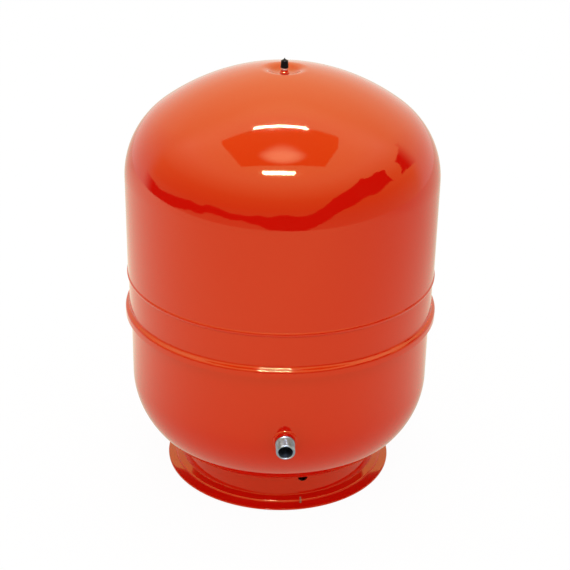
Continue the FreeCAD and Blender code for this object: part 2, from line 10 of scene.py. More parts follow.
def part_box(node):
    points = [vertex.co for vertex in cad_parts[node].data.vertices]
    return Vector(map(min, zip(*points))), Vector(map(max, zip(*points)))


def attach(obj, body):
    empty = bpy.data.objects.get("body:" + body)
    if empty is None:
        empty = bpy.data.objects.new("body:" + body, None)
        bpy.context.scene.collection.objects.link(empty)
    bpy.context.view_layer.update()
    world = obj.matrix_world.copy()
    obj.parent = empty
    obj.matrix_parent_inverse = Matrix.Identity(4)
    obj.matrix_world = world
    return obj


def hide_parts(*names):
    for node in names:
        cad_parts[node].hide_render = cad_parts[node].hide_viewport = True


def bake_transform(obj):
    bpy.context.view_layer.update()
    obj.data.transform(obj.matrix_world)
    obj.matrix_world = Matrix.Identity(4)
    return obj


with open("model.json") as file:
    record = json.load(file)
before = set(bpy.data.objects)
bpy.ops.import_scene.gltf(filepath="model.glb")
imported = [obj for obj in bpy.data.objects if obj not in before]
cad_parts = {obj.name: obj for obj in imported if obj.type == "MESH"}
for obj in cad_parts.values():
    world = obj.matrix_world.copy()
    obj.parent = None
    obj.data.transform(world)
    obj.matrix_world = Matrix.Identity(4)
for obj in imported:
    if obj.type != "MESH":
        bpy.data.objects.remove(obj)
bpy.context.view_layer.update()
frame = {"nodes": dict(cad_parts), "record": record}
nodes = frame["nodes"]

# The tank's axis is Z, the floor is z = 0 and the water nipple points along -Y. Lengths are metres.
mm = 0.001
inch = 25.4 * mm
upward = Vector((0, 0, 1))


# sRGB hex, as the eye sees a colour, to linear light
def toLinear(hexColour):
    channels = [int(hexColour[i:i + 2], 16) / 255 for i in (1, 3, 5)]
    linear = [c / 12.92 if c <= 0.04045 else ((c + 0.055) / 1.055) ** 2.4 for c in channels]
    return (*linear, 1.0)


# Camera

photoCamera = {
    "place": (-79.03 * mm, -1802.7 * mm, 1133.95 * mm),
    "aimRight": 2.7127,  # degrees, right of +Y
    "aimDown": 25.235,
    "roll": 1.0891,
    "focalPixels": 1341.117,
    "framePixels": 570,
    "sensor": 36.0,
}


def buildCamera(values):
    camera = bpy.data.objects.new("photoCamera", bpy.data.cameras.new("photoCamera"))
    bpy.context.scene.collection.objects.link(camera)
    camera.data.sensor_width = values["sensor"]
    camera.data.lens = values["sensor"] * values["focalPixels"] / values["framePixels"]
    aim = Euler((math.radians(90 - values["aimDown"]), 0, math.radians(-values["aimRight"])))
    camera.matrix_world = (
        Matrix.Translation(values["place"])
        @ aim.to_matrix().to_4x4()
        @ Matrix.Rotation(math.radians(values["roll"]), 4, "Z")
    )
    bpy.context.scene.camera = camera


# Shader nodes

# One node with its settings; an input is a number, a colour or another node's output
def addNode(tree, kind, inputs={}, **settings):
    node = tree.nodes.new("ShaderNode" + kind)
    for name, value in settings.items():
        setattr(node, name, value)
    for name, value in inputs.items():
        if isinstance(value, bpy.types.NodeSocket):
            tree.links.new(value, node.inputs[name])
        else:
            node.inputs[name].default_value = value
    return node


def setRamp(node, stops):
    ramp = node.color_ramp
    while len(ramp.elements) < len(stops):
        ramp.elements.new(0.5)
    for element, (place, colour) in zip(ramp.elements, stops):
        element.position = place
        element.color = colour


def newMaterial(name, values):
    material = bpy.data.materials.new(name)
    material.use_nodes = True
    tree = material.node_tree
    shader = tree.nodes["Principled BSDF"]
    shader.inputs["Base Color"].default_value = toLinear(values["colour"])
    shader.inputs["Roughness"].default_value = values["roughness"]
    return material, tree, shader, addNode(tree, "TexCoord").outputs["Object"]


# A pattern that varies between two values; size is the width of its grains
def addGrain(tree, place, size, low, high, detail=2.0):
    noise = addNode(tree, "TexNoise", {"Vector": place, "Scale": 1 / size, "Detail": detail})
    spread = {"Value": noise.outputs[0], "From Min": 0.3, "From Max": 0.7, "To Min": low, "To Max": high}
    return addNode(tree, "MapRange", spread).outputs[0]


def addBump(tree, shader, height, distance, under=None):
    bump = addNode(tree, "Bump", {"Height": height, "Distance": distance})
    if under:
        tree.links.new(under, bump.inputs["Normal"])
    tree.links.new(bump.outputs[0], shader.inputs["Normal"])
    return bump.outputs[0]


# Studio: white floor, soft even light, and two strip lamps with a board between them, whose mirror
# images show on the dome
studio = {
    "floorCentre": (0, 1.4, 0),
    "floorRadius": 3.0,
    "floorColour": "#FAFAF8",
    "floorShownWhite": 0.96,  # how far the camera sees the floor as plain white
    "floorMirrored": 1.25,  # brightness of the floor as gloss shows it, at the axis
    "floorMirroredLean": (-0.22, -0.4, 0),  # how it changes with each metre, within limits
    "floorMirroredLimits": (0.85, 1.65),
    "floorMirroredNear": (0.2, 0.62),  # distances over which the tank's own shade on it ends
    "shadeShare": 0.6,
    "floorMirroredColour": "#FFFFE6",
    "underTank": (0.15, 0.172),  # radii over which the floor's glow starts; under the tank it is plain paper
    "softLight": 1.0,
    "brightest": 5.0,  # more than any stop below, because a ramp's colours end at 1
    # degrees above the horizon, brightness and colour that gloss shows there
    "frontLight": (
        (-90, 1.0, "#FFFFFF"), (-18, 1.0, "#FFFFDA"), (-4, 0.9, "#FFFFC8"), (8, 1.3, "#FFD684"),
        (20, 1.7, "#FFD985"), (32, 2.45, "#FFE3AA"), (44, 3.1, "#FFECC5"), (56, 3.4, "#FFECBF"),
        (68, 3.4, "#FFECBF"), (90, 3.6, "#FFECBF"),
    ),
    "backLight": (
        (-90, 1.0, "#FFFFFF"), (-10, 1.05, "#FFFFF6"), (8, 1.25, "#FFFADD"), (24, 1.7, "#FFEEB9"),
        (40, 2.3, "#FFECA8"), (56, 2.9, "#FFEFA9"), (68, 3.5, "#FFF9BC"), (90, 3.8, "#FFF9BC"),
    ),
    "frontEnds": (0.25, 0.5),  # sideways share of +Y where the front gives way to the back
    # dark surroundings near the horizon, in front: sideways share of the ray, and the sines of the
    # heights of the lower and the upper edge there
    "darkBand": (
        (-1.0, -0.26, -0.06), (-0.8, -0.16, 0.0), (-0.5, -0.2, -0.08), (0.0, -0.4, -0.04), (0.35, -0.3, 0.02),
        (0.55, -0.1, 0.26), (0.75, 0.04, 0.46), (0.88, 0.16, 0.4), (1.0, 0.2, 0.1),
    ),
    "darkBandUnevenness": 0.1,
    "darkBandColour": "#0C0C0C",
    "softLean": -0.06,  # how much dimmer the soft light gets towards the right
    "lampPlaces": ((-0.05, 0.71, 4.02), (-0.28, -2.5, 4.02)),
    "lampSizes": ((1.45, 0.1), (1.4, 0.68)),
    "lampTurns": (-3.0, -2.5),  # degrees
    "lampMirrored": 500.0,
    "lampFade": 2.5,  # how steeply a lamp dims from its middle to its long edges
    "lampColour": "#E2ECFF",
    "lampWatts": 14.0,
    "boardCentre": (-0.08, -0.51, 4.04),
    "boardSize": (3.45, 2.36),
    "boardMirrored": 3.1,
    "boardColour": "#FFAC50",
    "boardGlowPlace": (0.03, -0.3),  # from its centre
    "boardGlowSize": (0.85, 0.85),
    "boardGlow": 5.0,
}


def stageMesh(name, shape, material):
    mesh = bpy.data.meshes.new(name)
    shape.to_mesh(mesh)
    shape.free()
    mesh.materials.append(material)
    thing = bpy.data.objects.new(name, mesh)
    bpy.context.scene.collection.objects.link(thing)
    return thing


def buildFloor(values):
    disc = bmesh.new()
    bmesh.ops.create_circle(disc, cap_ends=True, radius=values["floorRadius"], segments=128)
    bmesh.ops.translate(disc, vec=values["floorCentre"], verts=disc.verts)
    material = bpy.data.materials.new("whitePaper")
    material.use_nodes = True
    tree = material.node_tree
    tree.nodes.remove(tree.nodes["Principled BSDF"])
    paper = addNode(tree, "BsdfDiffuse", {"Color": toLinear(values["floorColour"])})
    white = addNode(tree, "Emission", {"Strength": 1.0})
    place = addNode(tree, "TexCoord").outputs["Object"]
    fromAxis = addNode(tree, "VectorMath", {0: place}, operation="LENGTH").outputs["Value"]
    lean = addNode(tree, "VectorMath", {0: place, 1: values["floorMirroredLean"]}, operation="DOT_PRODUCT")
    level = addNode(tree, "Math", {0: lean.outputs["Value"], 1: values["floorMirrored"]}, operation="ADD")
    low, high = values["floorMirroredLimits"]
    level = addNode(tree, "Clamp", {0: level.outputs[0], 1: low, 2: high})
    inner, outer = values["floorMirroredNear"]
    shade = {"Value": fromAxis, "From Min": inner, "From Max": outer, "To Min": values["shadeShare"]}
    shaded = addNode(tree, "MapRange", shade, interpolation_type="SMOOTHSTEP").outputs[0]
    level = addNode(tree, "Math", {0: level.outputs[0], 1: shaded}, operation="MULTIPLY").outputs[0]
    bright = addNode(tree, "Emission", {"Color": toLinear(values["floorMirroredColour"]), "Strength": level})
    inner, outer = values["underTank"]
    outside = addNode(tree, "MapRange", {"Value": fromAxis, "From Min": inner, "From Max": outer}).outputs[0]
    path = addNode(tree, "LightPath").outputs
    surface = paper
    shown = (("Is Camera Ray", values["floorShownWhite"], white), ("Is Glossy Ray", 1.0, bright))
    for ray, share, light in shown:
        seen = addNode(tree, "Math", {0: path[ray], 1: share}, operation="MULTIPLY").outputs[0]
        seen = addNode(tree, "Math", {0: seen, 1: outside}, operation="MULTIPLY").outputs[0]
        surface = addNode(tree, "MixShader", {0: seen, 1: surface.outputs[0], 2: light.outputs[0]})
    tree.links.new(surface.outputs[0], tree.nodes["Material Output"].inputs["Surface"])
    stageMesh("floor", disc, material)


# What gloss shows of the studio in one direction, by the height of the mirrored ray
def addSurroundings(tree, height, rows, brightest):
    place = addNode(tree, "MapRange", {"Value": height, "From Min": -1.0, "From Max": 1.0})
    shades = addNode(tree, "ValToRGB", {0: place.outputs[0]})
    stops = []
    for degrees, brightness, tint in rows:
        light = [channel * brightness / brightest for channel in toLinear(tint)[:3]]
        stops.append(((math.sin(math.radians(degrees)) + 1) / 2, (*light, 1.0)))
    setRamp(shades, stops)
    return shades.outputs[0]


def buildWorld(values):
    world = bpy.data.worlds.new("studio")
    bpy.context.scene.world = world
    world.use_nodes = True
    tree = world.node_tree
    tree.nodes.remove(tree.nodes["Background"])
    direction = addNode(tree, "TexCoord").outputs["Generated"]
    parts = addNode(tree, "SeparateXYZ", {0: direction}).outputs
    height = parts["Z"]
    low, high = values["frontEnds"]
    behind = addNode(
        tree, "MapRange", {"Value": parts["Y"], "From Min": low, "From Max": high},
        interpolation_type="SMOOTHSTEP",
    ).outputs[0]
    # the dark band's two edges, both a little uneven
    around = addNode(tree, "CombineXYZ", {"X": parts["X"], "Y": parts["Y"]}).outputs[0]
    uneven = addGrain(tree, around, 0.3, 0.0, values["darkBandUnevenness"], detail=3.0)
    sideways = addNode(tree, "MapRange", {"Value": parts["X"], "From Min": -1.0}).outputs[0]
    edges = addNode(tree, "ValToRGB", {0: sideways})
    setRamp(edges, [
        ((x + 1) / 2, ((lower + 1) / 2, (upper + 1) / 2, 0, 1)) for x, lower, upper in values["darkBand"]
    ])
    edges = addNode(tree, "SeparateXYZ", {0: edges.outputs[0]}).outputs
    within = []
    for axis, past in (("X", "GREATER_THAN"), ("Y", "LESS_THAN")):
        edge = addNode(tree, "MapRange", {"Value": edges[axis], "To Min": -1.0}).outputs[0]
        edge = addNode(tree, "Math", {0: uneven, 1: edge}, operation="ADD").outputs[0]
        within.append(addNode(tree, "Math", {0: height, 1: edge}, operation=past).outputs[0])
    inBand = addNode(tree, "Math", {0: within[0], 1: within[1]}, operation="MULTIPLY").outputs[0]
    clear = addNode(tree, "Math", {0: 1.0, 1: inBand}, operation="SUBTRACT").outputs[0]
    front = addSurroundings(tree, height, values["frontLight"], values["brightest"])
    back = addSurroundings(tree, height, values["backLight"], values["brightest"])
    banded = addNode(
        tree, "Mix", {"Factor": clear, 6: toLinear(values["darkBandColour"]), 7: front}, data_type="RGBA"
    ).outputs[2]
    allRound = addNode(tree, "Mix", {"Factor": behind, 6: banded, 7: back}, data_type="RGBA").outputs[2]
    mirrored = addNode(tree, "Background", {"Color": allRound, "Strength": values["brightest"]})
    dimmer = addNode(tree, "Math", {0: parts["X"], 1: values["softLean"]}, operation="MULTIPLY").outputs[0]
    level = addNode(tree, "Math", {0: dimmer, 1: values["softLight"]}, operation="ADD").outputs[0]
    soft = addNode(tree, "Background", {"Color": (1, 1, 1, 1), "Strength": level})
    white = addNode(tree, "Background", {"Color": (1, 1, 1, 1), "Strength": 1.0})
    path = addNode(tree, "LightPath").outputs
    lit = addNode(tree, "MixShader", {0: path["Is Glossy Ray"], 1: soft.outputs[0], 2: mirrored.outputs[0]})
    shown = addNode(tree, "MixShader", {0: path["Is Camera Ray"], 1: lit.outputs[0], 2: white.outputs[0]})
    tree.links.new(shown.outputs[0], tree.nodes["World Output"].inputs["Surface"])


# A flat panel overhead that only gloss shows; light gives its emission and where it is clear
def buildPanel(name, centre, size, light, turn=0.0):
    shape = bmesh.new()
    bmesh.ops.create_grid(shape, x_segments=1, y_segments=1, size=0.5)
    bmesh.ops.scale(shape, vec=(*size, 1), verts=shape.verts)
    bmesh.ops.rotate(shape, matrix=Matrix.Rotation(turn, 3, "Z"), verts=shape.verts)
    bmesh.ops.translate(shape, vec=centre, verts=shape.verts)
    material = bpy.data.materials.new(name)
    material.use_nodes = True
    tree = material.node_tree
    tree.nodes.remove(tree.nodes["Principled BSDF"])
    place = addNode(tree, "TexCoord").outputs["Object"]
    local = addNode(tree, "VectorMath", {0: place, 1: centre}, operation="SUBTRACT").outputs[0]
    local = addNode(
        tree, "VectorRotate", {"Vector": local, "Angle": -turn}, rotation_type="Z_AXIS"
    ).outputs[0]
    parts = addNode(tree, "SeparateXYZ", {0: local}).outputs
    glow, shown = light(tree, parts)
    clear = addNode(tree, "BsdfTransparent")
    both = addNode(tree, "MixShader", {0: shown, 1: clear.outputs[0], 2: glow.outputs[0]})
    tree.links.new(both.outputs[0], tree.nodes["Material Output"].inputs["Surface"])
    panel = stageMesh(name, shape, material)
    panel.visible_camera = False
    panel.visible_diffuse = False
    panel.visible_shadow = False


def buildLamps(values):
    # the board is dim, with a soft glow where the lamps light it most
    def boardLight(tree, parts):
        squares = []
        for axis, place, size in zip("XY", values["boardGlowPlace"], values["boardGlowSize"]):
            reach = {"Value": parts[axis], "From Min": place, "From Max": place + size}
            off = addNode(tree, "MapRange", reach, clamp=False).outputs[0]
            squares.append(addNode(tree, "Math", {0: off, 1: off}, operation="MULTIPLY").outputs[0])
        far = addNode(tree, "Math", {0: squares[0], 1: squares[1]}, operation="ADD").outputs[0]
        glow = {"Value": far, "From Max": 1.0, "To Min": values["boardGlow"], "To Max": 0.0}
        glow = addNode(tree, "MapRange", glow, interpolation_type="SMOOTHSTEP").outputs[0]
        glowing = addNode(tree, "Emission", {"Color": toLinear(values["lampColour"]), "Strength": glow})
        board = {"Color": toLinear(values["boardColour"]), "Strength": values["boardMirrored"]}
        dim = addNode(tree, "Emission", board)
        return addNode(tree, "AddShader", {0: glowing.outputs[0], 1: dim.outputs[0]}), 1.0

    # a lamp is brightest along its middle and fades to its long edges
    def lampLight(depth):
        def light(tree, parts):
            off = addNode(tree, "Math", {0: parts["Y"]}, operation="ABSOLUTE").outputs[0]
            fade = {"Value": off, "From Min": 0.0, "From Max": depth / 2, "To Min": 1.0, "To Max": 0.0}
            share = addNode(tree, "MapRange", fade).outputs[0]
            shown = addNode(tree, "Math", {0: share, 1: values["lampFade"]}, operation="POWER").outputs[0]
            lit = {"Color": toLinear(values["lampColour"]), "Strength": values["lampMirrored"]}
            return addNode(tree, "Emission", lit), shown
        return light

    buildPanel("lampBoard", values["boardCentre"], values["boardSize"], boardLight)
    lamps = zip(values["lampPlaces"], values["lampSizes"], values["lampTurns"])
    for number, (place, size, degrees) in enumerate(lamps):
        turn = math.radians(degrees)
        buildPanel(f"stripLampGlass{number}", place, size, lampLight(size[1]), turn)
        light = bpy.data.lights.new(f"stripLamp{number}", "AREA")
        light.shape = "RECTANGLE"
        light.size, light.size_y = size
        light.energy = values["lampWatts"]
        lamp = bpy.data.objects.new(light.name, light)
        lamp.location = place
        lamp.rotation_euler.z = turn
        lamp.visible_glossy = False
        bpy.context.scene.collection.objects.link(lamp)


# Materials

# Red gloss powder coat, sprayed dry on drawn steel and baked: a smooth plastic skin a tenth of a
# millimetre thick. The melted powder leaves a faint orange peel, the drawn sheet under it is a little
# wavy, and what it mirrors comes back warm.
redPowderCoat = {
    "colour": "#C60D03",
    "mirrorTint": "#FFE8A0",
    "roughness": 0.04,
    "roughnessWorn": 0.075,
    "wornSize": 30 * mm,
    "ior": 1.5,
    "peelSize": 4.5 * mm,
    "peelHeight": 0.0035 * mm,
    "waveSize": 70 * mm,
    "waveHeight": 0.06 * mm,
}


def buildRedPowderCoat(values, name="redPowderCoat"):
    material, tree, shader, place = newMaterial(name, values)
    shader.inputs["IOR"].default_value = values["ior"]
    shader.inputs["Specular Tint"].default_value = toLinear(values["mirrorTint"])
    worn = addGrain(tree, place, values["wornSize"], values["roughness"], values["roughnessWorn"])
    tree.links.new(worn, shader.inputs["Roughness"])
    waves = addNode(tree, "TexNoise", {"Vector": place, "Scale": 1 / values["waveSize"], "Detail": 0.0})
    waved = addBump(tree, shader, waves.outputs[0], values["waveHeight"])
    peel = addNode(tree, "TexNoise", {"Vector": place, "Scale": 1 / values["peelSize"], "Detail": 1.0})
    addBump(tree, shader, peel.outputs[0], values["peelHeight"], under=waved)
    return material


# A knock on the edge of the foot's shoulder where the coat has come off: dull brown rust on bare steel
footChip = {
    "centre": (27.8 * mm, -155.6 * mm),
    "halfWidth": 1.0 * mm,
    "halfLength": 3.6 * mm,
    "raggedness": 0.7 * mm,
    "edge": 0.4 * mm,
    "depth": 0.1 * mm,
    "grain": 2.2 * mm,
    "rust": "#78402E",
    "steel": "#9A7A68",
    "roughness": 0.8,
}


def addFootChip(material, values):
    tree = material.node_tree
    shader = tree.nodes["Principled BSDF"]
    place = addNode(tree, "TexCoord").outputs["Object"]
    parts = addNode(tree, "SeparateXYZ", {0: place}).outputs
    ragged = addGrain(tree, place, values["grain"], -values["raggedness"], values["raggedness"], detail=3.0)
    masks = []
    for axis, centre, half in zip("XY", values["centre"], (values["halfWidth"], values["halfLength"])):
        reach = addNode(tree, "Math", {0: parts[axis], 1: centre}, operation="SUBTRACT").outputs[0]
        reach = addNode(tree, "Math", {0: reach}, operation="ABSOLUTE").outputs[0]
        reach = addNode(tree, "Math", {0: reach, 1: ragged}, operation="ADD").outputs[0]
        fade = {"Value": reach, "From Min": half, "From Max": half + values["edge"]}
        masks.append(addNode(tree, "MapRange", {**fade, "To Min": 1.0, "To Max": 0.0}).outputs[0])
    bare = addNode(tree, "Math", {0: masks[0], 1: masks[1]}, operation="MULTIPLY").outputs[0]
    blotch = addGrain(tree, place, values["grain"] / 2, 0.0, 1.0)
    rust = addNode(
        tree, "Mix", {"Factor": blotch, 6: toLinear(values["rust"]), 7: toLinear(values["steel"])},
        data_type="RGBA",
    ).outputs[2]
    red = shader.inputs["Base Color"].default_value[:]
    colour = addNode(tree, "Mix", {"Factor": bare, 6: red, 7: rust}, data_type="RGBA").outputs[2]
    tree.links.new(colour, shader.inputs["Base Color"])
    gloss = shader.inputs["Roughness"].links[0].from_socket
    rough = addNode(tree, "Mix", {"Factor": bare, 2: gloss, 3: values["roughness"]}).outputs[0]
    tree.links.new(rough, shader.inputs["Roughness"])
    sunk = addNode(tree, "Math", {0: 1.0, 1: bare}, operation="SUBTRACT").outputs[0]
    addBump(tree, shader, sunk, values["depth"], under=shader.inputs["Normal"].links[0].from_socket)


# Turned, drawn and plated metals, each with a fine grain that softens what it mirrors
zincPlate = {
    # Steel pipe, cut and threaded, then zinc-plated and passivated: a soft silver with a blue-grey bloom
    "colour": "#98A4B8", "bloom": "#727C90", "roughness": 0.3, "dull": 0.45,
    "bloomSize": 6 * mm, "grainSize": 0.5 * mm, "grainHeight": 0.004 * mm,
}
nickelPlate = {
    # Brass valve stem, turned and nickel-plated: pale, with a satin skin
    "colour": "#E6E6EC", "bloom": "#D0D0D6", "roughness": 0.42, "dull": 0.5,
    "bloomSize": 2 * mm, "grainSize": 0.3 * mm, "grainHeight": 0.002 * mm,
}
turnedBrass = {
    # Free-cutting brass rod, turned and left bare: yellow, with darker tarnish
    "colour": "#D9B45E", "bloom": "#B08A3E", "roughness": 0.2, "dull": 0.36,
    "bloomSize": 1.5 * mm, "grainSize": 0.2 * mm, "grainHeight": 0.002 * mm,
}
springSteel = {
    # Drawn stainless spring wire: grey, drawn smooth
    "colour": "#A9A9A6", "bloom": "#8D8C88", "roughness": 0.22, "dull": 0.34,
    "bloomSize": 0.6 * mm, "grainSize": 0.1 * mm, "grainHeight": 0.001 * mm,
}


def buildMetal(name, values):
    material, tree, shader, place = newMaterial(name, values)
    shader.inputs["Metallic"].default_value = 1.0
    bloom = addGrain(tree, place, values["bloomSize"], 0.0, 1.0, detail=3.0)
    colour = addNode(
        tree, "Mix", {"Factor": bloom, 6: toLinear(values["colour"]), 7: toLinear(values["bloom"])},
        data_type="RGBA",
    ).outputs[2]
    tree.links.new(colour, shader.inputs["Base Color"])
    dull = addGrain(tree, place, values["bloomSize"] / 2, values["roughness"], values["dull"])
    tree.links.new(dull, shader.inputs["Roughness"])
    grain = addNode(tree, "TexNoise", {"Vector": place, "Scale": 1 / values["grainSize"], "Detail": 2.0})
    addBump(tree, shader, grain.outputs[0], values["grainHeight"])
    return material


# Plastics, rubber and fibre: one colour all through, with the mould's or the cutter's fine texture
blackPolyamide = {
    # Glass-filled nylon cap, injection-moulded: black with a satin skin and little shine
    "colour": "#090B0F", "fleck": "#111419", "roughness": 0.4, "dull": 0.52,
    "fleckSize": 0.5 * mm, "grainSize": 0.35 * mm, "grainHeight": 0.012 * mm, "sheen": 0.08,
}
butylRubber = {
    # Butyl sheet, pressed and cured: matt black-grey with a dusting of bloom
    "colour": "#1A1A1A", "fleck": "#2B2A29", "roughness": 0.6, "dull": 0.8,
    "fleckSize": 8 * mm, "grainSize": 0.8 * mm, "grainHeight": 0.02 * mm, "sheen": 0.4,
}
fibreWasher = {
    # Vulcanised fibre, punched from sheet: red-brown, matt, with fine paper fibres
    "colour": "#8A3A2A", "fleck": "#9C5040", "roughness": 0.6, "dull": 0.75,
    "fleckSize": 0.3 * mm, "grainSize": 0.15 * mm, "grainHeight": 0.01 * mm, "sheen": 0.4,
}
whiteSeal = {
    # PTFE, turned from rod: waxy white
    "colour": "#E9E8E2", "fleck": "#DEDDD4", "roughness": 0.4, "dull": 0.5,
    "fleckSize": 0.5 * mm, "grainSize": 0.2 * mm, "grainHeight": 0.003 * mm, "sheen": 0.5,
}


def buildPlastic(name, values):
    material, tree, shader, place = newMaterial(name, values)
    shader.inputs["Specular IOR Level"].default_value = values["sheen"]
    fleck = addGrain(tree, place, values["fleckSize"], 0.0, 1.0, detail=3.0)
    colour = addNode(
        tree, "Mix", {"Factor": fleck, 6: toLinear(values["colour"]), 7: toLinear(values["fleck"])},
        data_type="RGBA",
    ).outputs[2]
    tree.links.new(colour, shader.inputs["Base Color"])
    dull = addGrain(tree, place, values["fleckSize"] * 2, values["roughness"], values["dull"])
    tree.links.new(dull, shader.inputs["Roughness"])
    grain = addNode(tree, "TexNoise", {"Vector": place, "Scale": 1 / values["grainSize"], "Detail": 2.0})
    addBump(tree, shader, grain.outputs[0], values["grainHeight"])
    return material


def dress(nodeName, material):
    mesh = nodes[nodeName].data
    mesh.materials.clear()
    mesh.materials.append(material)


# Modelling

# A profile of (radius, height) corners, turned about Z: a sixteenth is spun, then doubled four times
def turnProfile(corners, segments):
    shape = bmesh.new()
    verts = [shape.verts.new((radius, 0, height)) for radius, height in corners]
    for first, second in zip(verts, verts[1:]):
        shape.edges.new((first, second))
    turned = math.tau / 16
    bmesh.ops.spin(
        shape, geom=shape.verts[:] + shape.edges[:], cent=(0, 0, 0), axis=(0, 0, 1),
        angle=turned, steps=segments // 16,
    )
    for doubling in range(4):
        copy = bmesh.ops.duplicate(shape, geom=shape.verts[:] + shape.edges[:] + shape.faces[:])["geom"]
        copied = [item for item in copy if isinstance(item, bmesh.types.BMVert)]
        bmesh.ops.rotate(shape, verts=copied, cent=(0, 0, 0), matrix=Matrix.Rotation(turned, 3, "Z"))
        turned *= 2
    bmesh.ops.remove_doubles(shape, verts=shape.verts, dist=0.001 * mm)
    bmesh.ops.recalc_face_normals(shape, faces=shape.faces)
    return shape


# Smooth faces with crisp edges where the surface turns sharply
def finishPiece(name, shape, materials, body, crispAngle=35):
    for face in shape.faces:
        face.smooth = True
    for edge in shape.edges:
        if len(edge.link_faces) == 2 and edge.calc_face_angle() > math.radians(crispAngle):
            edge.smooth = False
    mesh = bpy.data.meshes.new(name)
    shape.to_mesh(mesh)
    shape.free()
    for material in materials:
        mesh.materials.append(material)
    piece = bpy.data.objects.new(name, mesh)
    bpy.context.scene.collection.objects.link(piece)
    if body:
        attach(piece, body)
    return piece


# How deep a thread cuts at an angle round the axis and a height along it: 0 at a crest, 1 at a root
def threadDepthShare(angle, height, pitch, crestShare=0.16):
    turn = (height / pitch - angle / math.tau) % 1.0
    ridge = abs(2 * turn - 1)
    return min(max((ridge - crestShare) / (1 - 2 * crestShare), 0.0), 1.0)


def smoothStep(value):
    value = min(max(value, 0.0), 1.0)
    return value * value * (3 - 2 * value)


# Evenly spaced values from one to another, with both ends
def evenSteps(start, end, count):
    return [start + (end - start) * step / count for step in range(count + 1)]


# Points along a straight wall
def heightsOn(radius, start, end, count):
    return [(radius, height) for height in evenSteps(start, end, count)]


# The inside of the lower shell, found on the membrane that lies just inside it
def buildShellFinder():
    copy = bmesh.new()
    copy.from_mesh(nodes["diaphragm"].data)
    tree = BVHTree.FromBMesh(copy)
    copy.free()
    return tree


# Points on an arc, from one angle to another, in degrees from the radial direction
def arcPoints(centre, radius, start, end, steps):
    angles = evenSteps(math.radians(start), math.radians(end), steps)
    return [(centre[0] + radius * math.cos(a), centre[1] + radius * math.sin(a)) for a in angles]


# A sheet's closed section: its outer side, its cut edge, and the same line again a thickness further in
def sheetSection(outer, thickness, edge=()):
    points = [Vector(point) for point in outer]
    inner = []
    for before, point, after in zip(points[:1] + points, points, points[1:] + points[-1:]):
        along = (after - before).normalized()
        inner.append(tuple(point + Vector((along.y, -along.x)) * thickness))
    return list(outer) + list(edge) + inner[::-1] + [outer[0]]


# Upper shell, drawn from sheet: a dome with a pressed dish for the valve, a rolled ridge and a
# flared lip. The crown's arc starts past the axis, because pressing the dish lifts the metal round it.
upperShell = {
    "sheet": 1.6 * mm,
    "radius": 225 * mm,
    "bandRadius": 223.7 * mm,
    "lipRadius": 229.8 * mm,
    "kneeRadius": 118.7 * mm,
    "kneeHeight": 460.9 * mm,
    "crownRadius": 314 * mm,
    "crownPastAxis": 9.3 * mm,
    "dishRim": 35.4 * mm,
    "dishRimBend": 25 * mm,
    "dishFloorBend": 25 * mm,
    "dishFloor": 608 * mm,
    "holeRadius": 5.4 * mm,
    "ridgeHeight": 315 * mm,
    "ridgeWidth": 6.6 * mm,
    "ridgeBend": 4 * mm,
    "lipTop": 268.5 * mm,
    "lipBend": 5 * mm,
    "dishSteps": 16,
    "crownSteps": 24,
    "kneeSteps": 36,
    "wallSteps": 8,
    "ridgeSteps": 12,
    "bandSteps": 4,
    "lipSteps": 8,
    "segments": 352,
}


